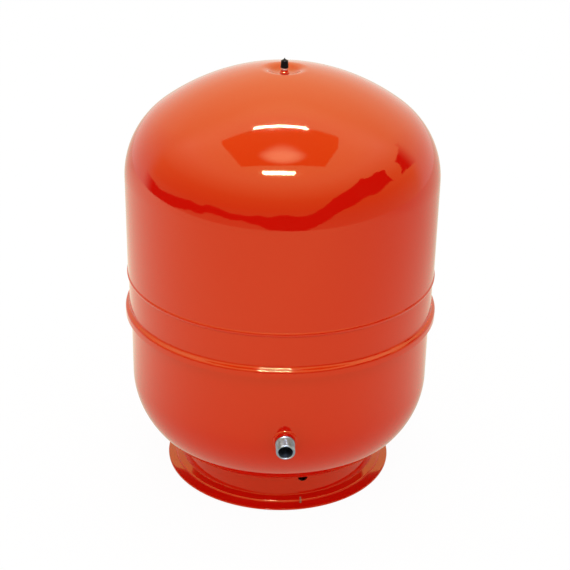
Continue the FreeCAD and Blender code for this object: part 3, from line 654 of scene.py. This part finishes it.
def buildUpperShell(values, paint):
    radius, band, lip = values["radius"], values["bandRadius"], values["lipRadius"]
    knee, crown = values["kneeRadius"], values["crownRadius"]
    kneeCentre = Vector((radius - knee, values["kneeHeight"]))
    out = kneeCentre.x + values["crownPastAxis"]
    crownCentre = Vector((-values["crownPastAxis"], kneeCentre.y - math.sqrt((crown - knee) ** 2 - out ** 2)))
    meet = math.degrees(math.acos(out / (crown - knee)))
    # the dish: a floor, a bend up and a bend over the rim on to the crown
    rim, floor = values["dishRimBend"], values["dishFloorBend"]
    rimAngle = math.acos((values["dishRim"] - crownCentre.x) / crown)
    rimCentre = crownCentre + Vector((math.cos(rimAngle), math.sin(rimAngle))) * (crown - rim)
    drop = values["dishFloor"] + floor - rimCentre.y
    apart = math.sqrt((rim + floor) ** 2 - drop ** 2)
    floorCentre = Vector((rimCentre.x - apart, values["dishFloor"] + floor))
    wall = math.degrees(math.atan2(-drop, rimCentre.x - floorCentre.x))
    outer = [(values["holeRadius"], values["dishFloor"])]
    outer += arcPoints(floorCentre, floor, -90, wall, values["dishSteps"])
    outer += arcPoints(rimCentre, rim, 180 + wall, math.degrees(rimAngle), values["dishSteps"])[1:]
    outer += arcPoints(crownCentre, crown, math.degrees(rimAngle), meet, values["crownSteps"])[1:]
    outer += arcPoints(kneeCentre, knee, meet, 0, values["kneeSteps"])[1:]
    # the ridge: one arc that stands out between the wall and the band
    start = Vector((radius, values["ridgeHeight"] + values["ridgeWidth"] / 2))
    end = Vector((band, values["ridgeHeight"] - values["ridgeWidth"] / 2))
    inward = Vector((end.y - start.y, start.x - end.x)).normalized()
    depth = math.sqrt(values["ridgeBend"] ** 2 - ((end - start).length / 2) ** 2)
    ridgeCentre = (start + end) / 2 + inward * depth
    turns = [math.degrees(math.atan2(*(point - ridgeCentre).yx)) for point in (start, end)]
    outer += heightsOn(radius, values["kneeHeight"], start.y, values["wallSteps"])[1:]
    outer += arcPoints(ridgeCentre, values["ridgeBend"], *turns, values["ridgeSteps"])[1:]
    # the lip: two arcs that lead from the band to the wider lip
    bend, steps = values["lipBend"], values["lipSteps"]
    swing = math.degrees(math.acos(1 - (lip - band) / (2 * bend)))
    middle = values["lipTop"] - bend * math.sin(math.radians(swing))
    outer += heightsOn(band, end.y, values["lipTop"], values["bandSteps"])[1:]
    outer += arcPoints((band + bend, values["lipTop"]), bend, 180, 180 + swing, steps)[1:]
    outer += arcPoints((lip - bend, 2 * middle - values["lipTop"]), bend, swing, 0, steps)[1:]
    outer.append((lip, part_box("upper_shell")[0].z))
    shell = turnProfile(sheetSection(outer, values["sheet"]), values["segments"])
    piece = finishPiece("drawnUpperShell", shell, (paint,), "tank")
    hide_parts("upper_shell")


# Foot ring, rolled from strip and flared: a plain wall, a sloping shoulder that drops over a round edge,
# and a flange down to the floor. Three round cut-outs at its top edge drain the space under the tank.
footRing = {
    "sheet": 2 * mm,
    "wallRadius": 150 * mm,
    "wallBend": 0.9 * mm,
    "belowShell": 0.08 * mm,  # keeps the top edge clear of the shell's facets
    "edgeTop": 8.8 * mm,
    "edgeCentreRadius": 156.2 * mm,
    "edgeBend": 3.2 * mm,
    "shoulderSlope": 26,  # degrees
    "flangeRadius": 171.1 * mm,
    "flangeFlat": 2.6 * mm,
    "flangeEdgeBend": 0.9 * mm,
    "notchAngles": (-78, 42, 162),
    "notchRadius": 7.7 * mm,
    "notchDrop": 1.1 * mm,
    "insideMargin": 0.1 * mm,  # finds the inner corner of the CAD ring's top edge
    "wallSteps": 8,
    "bendSteps": 6,
    "edgeSteps": 12,
    "segments": 960,
}


def buildFootRing(values, paint):
    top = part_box("foot_ring")[1].z - values["belowShell"]
    wall, bend, sheet = values["wallRadius"], values["wallBend"], values["sheet"]
    rim, rimBend, steps = values["flangeRadius"], values["flangeEdgeBend"], values["bendSteps"]
    slope = math.radians(values["shoulderSlope"])
    edgeBend = values["edgeBend"]
    edgeCentre = (values["edgeCentreRadius"], values["edgeTop"] - edgeBend)
    over = arcPoints(edgeCentre, edgeBend, 90 - values["shoulderSlope"], 0, values["edgeSteps"])
    # the bend from the wall to the shoulder ends on the shoulder's slope
    into = wall + bend - bend * math.sin(slope)
    base = over[0][1] + (over[0][0] - into) * math.tan(slope) + bend * math.cos(slope)
    outer = heightsOn(wall, top, base, values["wallSteps"])
    outer += arcPoints((wall + bend, base), bend, 180, 270 - values["shoulderSlope"], steps)[1:] + over
    outer += [(rim - values["flangeFlat"], sheet), (rim - rimBend, sheet)]
    lip = arcPoints((rim - rimBend, sheet - rimBend), rimBend, 90, 0, steps)[1:] + [(rim, 0)]
    section = sheetSection(outer, sheet, lip)
    # the top edge follows the shell, so it is lower on its inner side, as on the CAD ring
    cadRing = nodes["foot_ring"].data.vertices
    inside = wall - sheet + values["insideMargin"]
    innerTop = max(v.co.z for v in cadRing if math.hypot(v.co.x, v.co.y) < inside)
    section[-2] = (wall - sheet, innerTop - values["belowShell"])
    ring = turnProfile(section, values["segments"])
    # the cut-outs lower the top edge along a circle's lower half
    centre = top - values["notchDrop"]
    for vertex in ring.verts:
        x, y, height = vertex.co
        angle = math.atan2(y, x)
        for middle in values["notchAngles"]:
            along = math.hypot(x, y) * math.sin(angle - math.radians(middle))
            near = math.cos(angle - math.radians(middle)) > 0
            if near and abs(along) < values["notchRadius"] and height > base:
                lowered = centre - math.sqrt(values["notchRadius"] ** 2 - along ** 2)
                vertex.co.z = base + (height - base) * (lowered - base) / (top - base)
    piece = finishPiece("flaredFootRing", ring, (paint,), "tank")
    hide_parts("foot_ring")


# Water nipple: a pipe end with a parallel pipe thread, painted with the tank as far as its root
waterNipple = {
    "shankRadius": 13.45 * mm,
    "shankLength": 5.5 * mm,
    "boreRadius": 10.0 * mm,
    "threadPitch": inch / 14,
    "threadDepth": 1.162 * mm,
    "runOut": 1.5 * mm,  # length over which the thread fades in at the shank
    "mouthChamfer": 1.3 * mm,
    "boreChamfer": 0.7 * mm,
    "paintedLength": 4.0 * mm,
    "paintEdge": 0.5 * mm,  # how far the edge of the paint wanders
    "innerEnd": -8 * mm,  # from the root, before the shank is shortened to follow the shell
    "behindShell": 0.3 * mm,  # gap from the membrane to the pipe's inner end
    "rayStart": 20 * mm,  # from the root, well outside the shell
    "outsideMargin": 2 * mm,  # a face further than this from the bore is on the outside
    "segments": 128,
    "shankRings": 40,
    "chamferRings": 8,
    "ringsPerPitch": 12,
}


def nippleFrame(values):
    mount = next(m for m in frame["record"]["mounts"] if m["name"] == "water_connection")
    outward = Vector(mount["axis"])
    side = Vector((1, 0, 0))
    threadLength = mount["dims"]["length_mm"] * mm
    root = Vector(mount["pos_m"]) - outward * (threadLength / 2 + values["shankLength"])
    place = Matrix((side, outward.cross(side), outward)).transposed().to_4x4()
    place.translation = root
    return place, mount["dims"]["r_mm"] * mm, threadLength


# The inside of the shell, seen along the nipple from a point of its own cross-section
def findShell(shellFinder, place, x, y):
    outward = (place.to_3x3() @ upward).normalized()
    return shellFinder.ray_cast(place @ Vector((x, y, waterNipple["rayStart"])), -outward)[:2]


def buildWaterNipple(values, zinc, paint, shellFinder):
    place, threadRadius, threadLength = nippleFrame(values)
    threadEnd = values["shankLength"] + threadLength
    mouth = threadEnd + values["mouthChamfer"]
    rings = round(threadLength / values["threadPitch"] * values["ringsPerPitch"])
    innerEnd = values["innerEnd"]
    corners = [(values["boreRadius"], innerEnd)]
    corners += heightsOn(values["shankRadius"], innerEnd, values["shankLength"], values["shankRings"])
    corners += heightsOn(threadRadius, values["shankLength"], threadEnd, rings)
    corners += [
        (threadRadius - chamfer, threadEnd + chamfer)
        for chamfer in evenSteps(0, values["mouthChamfer"], values["chamferRings"])[1:]
    ]
    corners += [
        (values["boreRadius"] + values["boreChamfer"], mouth),
        (values["boreRadius"], mouth - values["boreChamfer"]),
        (values["boreRadius"], innerEnd),
    ]
    pipe = turnProfile(corners, values["segments"])
    for vertex in pipe.verts:
        x, y, height = vertex.co
        radius = math.hypot(x, y)
        if height > values["shankLength"] and radius > values["boreRadius"] + 2 * values["boreChamfer"]:
            depth = threadDepthShare(math.atan2(y, x), height, values["threadPitch"])
            depth *= smoothStep((height - values["shankLength"]) / values["runOut"]) * values["threadDepth"]
            cut = min(radius, threadRadius - depth) / radius
            vertex.co.x *= cut
            vertex.co.y *= cut
        elif height < values["shankLength"]:
            # the shank is shortened so that its inner end follows the inside of the shell
            hit = findShell(shellFinder, place, x, y)[0]
            end = (place.inverted() @ hit).z + values["behindShell"]
            share = (height - innerEnd) / (values["shankLength"] - innerEnd)
            vertex.co.z = end + (values["shankLength"] - end) * share
    for face in pipe.faces:
        middle = face.calc_center_median()
        angle = math.atan2(middle.y, middle.x)
        edge = values["paintedLength"] + values["paintEdge"] * math.sin(3 * angle + 1) * math.sin(7 * angle)
        outside = math.hypot(middle.x, middle.y) > values["boreRadius"] + values["outsideMargin"]
        face.material_index = 1 if outside and middle.z < edge else 0
    bmesh.ops.transform(pipe, matrix=place, verts=pipe.verts)
    piece = finishPiece("threadedNipple", pipe, (zinc, paint), "tank")
    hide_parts("water_nipple")


# Weld beads: each is a low ridge with the fish-scale ripples that the moving arc leaves, under the paint.
# Only the side that shows is drawn, and its edges lie in the metal.
nippleWeld = {
    "innerRadius": 13.3 * mm,
    "toeRadius": 17.2 * mm,
    "height": 2.0 * mm,
    "sheet": 1.9 * mm,  # from the membrane to the outside of the shell
    "sunk": 0.1 * mm,
    "startShare": 0.25,  # how far across its full round the bead starts, at the pipe
    "ripples": 42,
    "ripple": 0.10,  # share of the bead's height
    "bow": 0.9,  # how far a ripple trails at the edges of the bead, in ripples
    "segments": 416,
    "across": 12,
}
seamWeld = {
    "height": 1.0 * mm, "ripples": 400, "ripple": 0.28, "bow": 0.8, "segments": 3200, "across": 8,
    "overLipEdge": 0.3 * mm, "intoShell": 0.1 * mm,
}
footWeld = {
    "height": 1.5 * mm, "ripples": 240, "ripple": 0.3, "bow": 0.8, "segments": 1920, "across": 8,
    "belowTop": 0.3 * mm, "intoWall": 0.1 * mm,
    "taper": 5 * mm,
    "gapAngle": 9,  # degrees, each side of a cut-out's middle
}


# Height of a bead's surface over its base: 0 at both toes, 1 in the middle of a ripple's crest
def beadShape(share, angle, values):
    crown = math.sqrt(max(1 - (2 * share - 1) ** 2, 0.0))
    trail = values["bow"] * (2 * share - 1) ** 2
    scale = abs(math.sin((angle / math.tau * values["ripples"] + trail) * math.pi))
    wander = 0.6 * math.sin(5 * angle) + 0.4 * math.sin(13 * angle + 2)
    return crown * (1 - values["ripple"] * (1 - scale) + 0.5 * values["ripple"] * wander)


def buildNippleWeld(values, paint, shellFinder):
    place = nippleFrame(waterNipple)[0]
    outward = (place.to_3x3() @ upward).normalized()
    reach = values["toeRadius"] - values["innerRadius"]
    radii = evenSteps(values["innerRadius"], values["toeRadius"], values["across"])
    bead = turnProfile([(radius, 0) for radius in radii], values["segments"])
    for vertex in bead.verts:
        x, y = vertex.co.xy
        hit, normal = findShell(shellFinder, place, x, y)
        if normal.dot(outward) < 0:
            normal = -normal
        share = (math.hypot(x, y) - values["innerRadius"]) / reach
        across = values["startShare"] + (1 - values["startShare"]) * share
        rise = beadShape(across, math.atan2(y, x), values) * values["height"]
        vertex.co = hit + normal * values["sheet"] + outward * (rise - values["sunk"])
    bmesh.ops.recalc_face_normals(bead, faces=bead.faces)
    piece = finishPiece("nippleWeldBead", bead, (paint,), "tank", crispAngle=80)
    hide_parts("nipple_weld")


# A ring of bead between two corners of a (radius, height) section, bulging to the right of the line
# from start to end
def buildRingBead(name, node, start, end, values, paint, gaps=()):
    start, end = Vector(start), Vector(end)
    corners = [tuple(start.lerp(end, share)) for share in evenSteps(0, 1, values["across"])]
    run = (end - start).normalized()
    bulge = Vector((run.y, -run.x))
    bead = turnProfile(corners, values["segments"])
    spare = []
    for vertex in bead.verts:
        x, y, height = vertex.co
        angle = math.atan2(y, x)
        radius = math.hypot(x, y)
        share = (Vector((radius, height)) - start).length / (end - start).length
        rise = beadShape(share, angle, values) * values["height"]
        for middle, half in gaps:
            away = abs((angle - middle + math.pi) % math.tau - math.pi)
            if away < half:
                spare.append(vertex)
            rise *= smoothStep((away - half) * radius / values["taper"])
        moved = radius + bulge.x * rise
        vertex.co = Vector((x / radius * moved, y / radius * moved, height + bulge.y * rise))
    bmesh.ops.delete(bead, geom=spare, context="VERTS")
    bmesh.ops.recalc_face_normals(bead, faces=bead.faces)
    piece = finishPiece(name, bead, (paint,), "tank", crispAngle=80)
    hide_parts(node)


def buildSeamWeld(values, paint):
    low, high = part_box("seam_weld")
    lipEdge = (high.x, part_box("upper_shell")[0].z + values["overLipEdge"])
    shellSide = (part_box("lower_shell")[1].x - values["intoShell"], low.z)
    buildRingBead("seamWeldBead", "seam_weld", lipEdge, shellSide, values, paint)


def buildFootWelds(values, paint):
    low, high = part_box("foot_weld")
    shellSide = (high.x, high.z - values["belowTop"])
    ringSide = (footRing["wallRadius"] - values["intoWall"], low.z)
    gaps = [(math.radians(angle), math.radians(values["gapAngle"])) for angle in footRing["notchAngles"]]
    buildRingBead("footWeldBeads", "foot_weld", shellSide, ringSide, values, paint, gaps)


# Gas valve stem: plated, with the fine outside thread that the cap screws on
valveStem = {
    "boreRadius": 1.95 * mm,
    "shankRadius": 3.9 * mm,
    "seatDrop": 11.0 * mm,  # from the stem's top to the underside of its collar
    "collarRadius": 4.75 * mm,
    "collarHeight": 2.4 * mm,
    "collarChamfer": 0.35 * mm,
    "neckRadius": 3.85 * mm,
    "tipChamfer": 0.4 * mm,
    "threadPitch": inch / 32,
    "threadDepth": 0.43 * mm,
    "runOut": 1.0 * mm,
    "coreRadius": 2.65 * mm,
    "coreDepth": 7.0 * mm,
    "coneDepth": 1.6 * mm,
    "outsideMargin": 0.2 * mm,  # a point further than this from the core's bore is on the outside
    "segments": 96,
    "ringsPerPitch": 10,
}


def buildValveStem(values, nickel):
    tail, top = (corner.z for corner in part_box("valve_stem"))
    seat = top - values["seatDrop"]
    collarTop = seat + values["collarHeight"]
    chamfer = values["collarChamfer"]
    neckEnd = top - values["tipChamfer"]
    rings = round((neckEnd - collarTop) / values["threadPitch"] * values["ringsPerPitch"])
    corners = [
        (values["boreRadius"], tail),
        (values["shankRadius"], tail),
        (values["shankRadius"], seat),
        (values["collarRadius"] - chamfer, seat),
        (values["collarRadius"], seat + chamfer),
        (values["collarRadius"], collarTop - chamfer),
        (values["collarRadius"] - chamfer, collarTop),
    ]
    corners += heightsOn(values["neckRadius"], collarTop, neckEnd, rings)
    corners += [
        (values["neckRadius"] - values["tipChamfer"], top),
        (values["coreRadius"], top),
        (values["coreRadius"], top - values["coreDepth"]),
        (values["boreRadius"], top - values["coreDepth"] - values["coneDepth"]),
        (values["boreRadius"], tail),
    ]
    stem = turnProfile(corners, values["segments"])
    for vertex in stem.verts:
        x, y, height = vertex.co
        radius = math.hypot(x, y)
        if height > collarTop and radius > values["coreRadius"] + values["outsideMargin"]:
            depth = threadDepthShare(math.atan2(y, x), height, values["threadPitch"])
            depth *= smoothStep((height - collarTop) / values["runOut"]) * values["threadDepth"]
            cut = min(radius, values["neckRadius"] - depth) / radius
            vertex.co.x *= cut
            vertex.co.y *= cut
    piece = finishPiece("threadedValveStem", stem, (nickel,), "tank")
    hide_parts("valve_stem")


# Core spring: a coil that stands on the barrel's floor, with its other end at the pin
coreSpring = {
    "radius": 0.85 * mm,
    "wireRadius": 0.15 * mm,
    "turns": 6,
    "stepsPerTurn": 48,
    "sides": 12,
}


def buildCoreSpring(values, material):
    low, high = (corner.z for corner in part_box("core_spring"))
    radius, wire = values["radius"], values["wireRadius"]
    climb = math.atan2(high - low - 2 * wire, math.tau * radius * values["turns"])
    coil = bmesh.new()
    rings = []
    steps = values["turns"] * values["stepsPerTurn"]
    for step, height in enumerate(evenSteps(low + wire, high - wire, steps)):
        angle = math.tau * step / values["stepsPerTurn"]
        out = Vector((math.cos(angle), math.sin(angle), 0))
        around = Vector((-out.y, out.x, 0))
        across = upward * math.cos(climb) - around * math.sin(climb)
        ring = []
        for side in range(values["sides"]):
            turn = math.tau * side / values["sides"]
            place = out * (radius + wire * math.cos(turn)) + across * (wire * math.sin(turn))
            ring.append(coil.verts.new(place + upward * height))
        rings.append(ring)
    for first, second in zip(rings, rings[1:]):
        for side in range(values["sides"]):
            after = (side + 1) % values["sides"]
            coil.faces.new((first[side], first[after], second[after], second[side]))
    coil.faces.new(rings[0])
    coil.faces.new(rings[-1])
    bmesh.ops.recalc_face_normals(coil, faces=coil.faces)
    piece = finishPiece("coiledCoreSpring", coil, (material,), None)
    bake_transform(piece)
    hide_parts("core_spring")


buildCamera(photoCamera)
buildFloor(studio)
buildWorld(studio)
buildLamps(studio)
print("camera and studio made")

redCoat = buildRedPowderCoat(redPowderCoat)
footCoat = buildRedPowderCoat(redPowderCoat, "redPowderCoatChipped")
addFootChip(footCoat, footChip)
zinc = buildMetal("zincPlate", zincPlate)
nickel = buildMetal("nickelPlate", nickelPlate)
brass = buildMetal("turnedBrass", turnedBrass)
wire = buildMetal("springSteel", springSteel)
polyamide = buildPlastic("blackPolyamide", blackPolyamide)
butyl = buildPlastic("butylRubber", butylRubber)
fibre = buildPlastic("fibreWasher", fibreWasher)
seal = buildPlastic("whiteSeal", whiteSeal)
finishes = {
    redCoat: ("upper_shell", "lower_shell", "seam_weld", "foot_weld", "nipple_weld", "valve_boss"),
    footCoat: ("foot_ring",),
    zinc: ("water_nipple", "clamp_ring"),
    nickel: ("valve_stem",),
    brass: ("core_plug", "core_barrel", "core_pin", "core_cup"),
    wire: ("core_spring",),
    polyamide: ("valve_cap",),
    butyl: ("diaphragm", "core_seal", "cap_gasket"),
    fibre: ("stem_gasket",),
    seal: ("core_gasket",),
}
for material, names in finishes.items():
    for name in names:
        dress(name, material)
print("materials made")

buildUpperShell(upperShell, redCoat)
print("upper shell made")

shellFinder = buildShellFinder()
buildWaterNipple(waterNipple, zinc, redCoat, shellFinder)
buildNippleWeld(nippleWeld, redCoat, shellFinder)
print("nipple made")

buildSeamWeld(seamWeld, redCoat)
buildFootRing(footRing, footCoat)
buildFootWelds(footWeld, redCoat)
buildValveStem(valveStem, nickel)
buildCoreSpring(coreSpring, wire)
print("welds, valve stem and spring made")

bpy.context.scene.view_settings.view_transform = "Standard"
